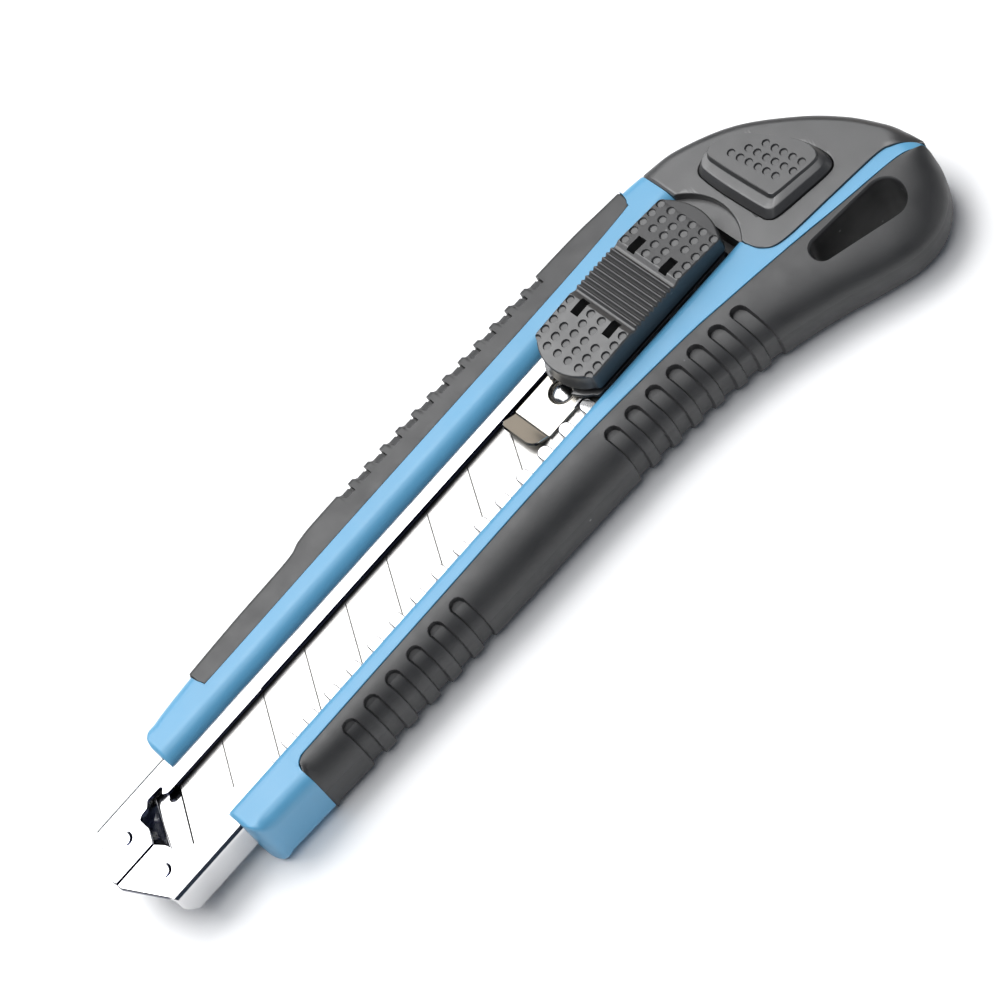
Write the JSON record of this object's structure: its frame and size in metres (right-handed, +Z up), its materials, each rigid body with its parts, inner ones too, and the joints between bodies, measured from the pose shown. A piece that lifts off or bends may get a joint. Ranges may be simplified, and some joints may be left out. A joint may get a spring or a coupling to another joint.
{
  "type": "snap-off utility knife",
  "caption": "Snap-off utility knife: blade in a steel channel, plastic handle with rubber grips, ribbed thumb slider, and a pull-out tail with a release button and spare blades.",
  "frame": {"origin": "on the flat underside, on the blade channel's centreline, at mid-length", "axes": "+X from the nose to the tail along the blade, +Y to the spine side (the cutting edge faces -Y), +Z up to the slider side"},
  "size_m": [0.1772, 0.0506, 0.0174],
  "materials": {
    "blue_plastic": "satin",
    "black_rubber": "matte",
    "sheet_steel": "brushed",
    "pin_steel": "satin",
    "blade_steel": "ground",
    "carrier_steel": "satin",
    "black_plastic": "satin",
    "slider_plastic": "satin",
    "button_plastic": "satin",
    "spring_steel": "bright",
    "tray_plastic": "matte"
  },
  "bodies": {
    "handle": {"handle_body": "blue_plastic", "belly_grip": "black_rubber", "spine_grip": "black_rubber", "blade_channel": "sheet_steel", "channel_rivets": "pin_steel", "nose_support": "sheet_steel"},
    "carriage": {"blade": "blade_steel", "carrier_strap": "carrier_steel", "carrier_plate": "carrier_steel", "carrier_stud": "pin_steel", "slider_base": "black_plastic", "slider_spring": "spring_steel", "lock_leaf": "spring_steel"},
    "thumb_slider": {"thumb_slider": "slider_plastic"},
    "tail": {"tail_cap": "black_plastic", "button_spring": "spring_steel", "spare_tray": "tray_plastic", "tray_screws": "pin_steel", "spare_blade_upper": "blade_steel", "spare_blade_lower": "blade_steel"},
    "cap_button": {"cap_button": "button_plastic"}
  },
  "joints": [
    {"name": "slider_travel", "type": "slide", "parent": "handle", "child": "carriage", "axis": [-1, 0, 0], "range_m": [0, 0.07815], "deforming": ["lock_leaf"]},
    {"name": "thumb_press", "type": "slide", "parent": "carriage", "child": "thumb_slider", "axis": [0, 0, -1], "range_m": [0, 0.001], "stiffness_N_per_m": 1500, "springref_m": -0.001, "deforming": ["slider_spring"]},
    {"name": "cap_pull", "type": "slide", "parent": "handle", "child": "tail", "axis": [1, 0, 0], "range_m": [0, 0.116]},
    {"name": "button_press", "type": "slide", "parent": "tail", "child": "cap_button", "axis": [0, 0, -1], "range_m": [0, 0.0012], "stiffness_N_per_m": 1500, "springref_m": -0.001, "deforming": ["button_spring"]}
  ]
}
